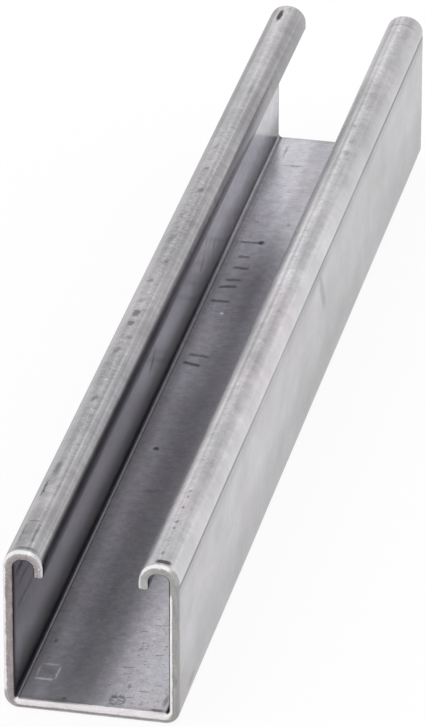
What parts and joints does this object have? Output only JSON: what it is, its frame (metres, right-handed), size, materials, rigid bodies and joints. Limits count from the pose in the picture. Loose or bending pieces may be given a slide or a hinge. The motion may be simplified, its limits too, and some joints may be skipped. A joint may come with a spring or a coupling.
{
  "type": "strut channel",
  "caption": "Plain-back C section steel strut channel with hooked lips along its open mouth, which carries channel nuts, clamps and brackets.",
  "frame": {"origin": "centre of the back's outer face, at mid width and mid length, on the surface that the channel lies on", "axes": "+Y along the channel, +Z from the back towards the open mouth, +X across the channel from one wall to the other"},
  "size_m": [0.0412, 0.305, 0.0413],
  "materials": {
    "mill_steel": "satin mill finish, scuffed along the lips, with bright deburred edges at the sawn ends"
  },
  "bodies": {
    "root": {"strut_channel": "mill_steel"}
  },
  "joints": []
}
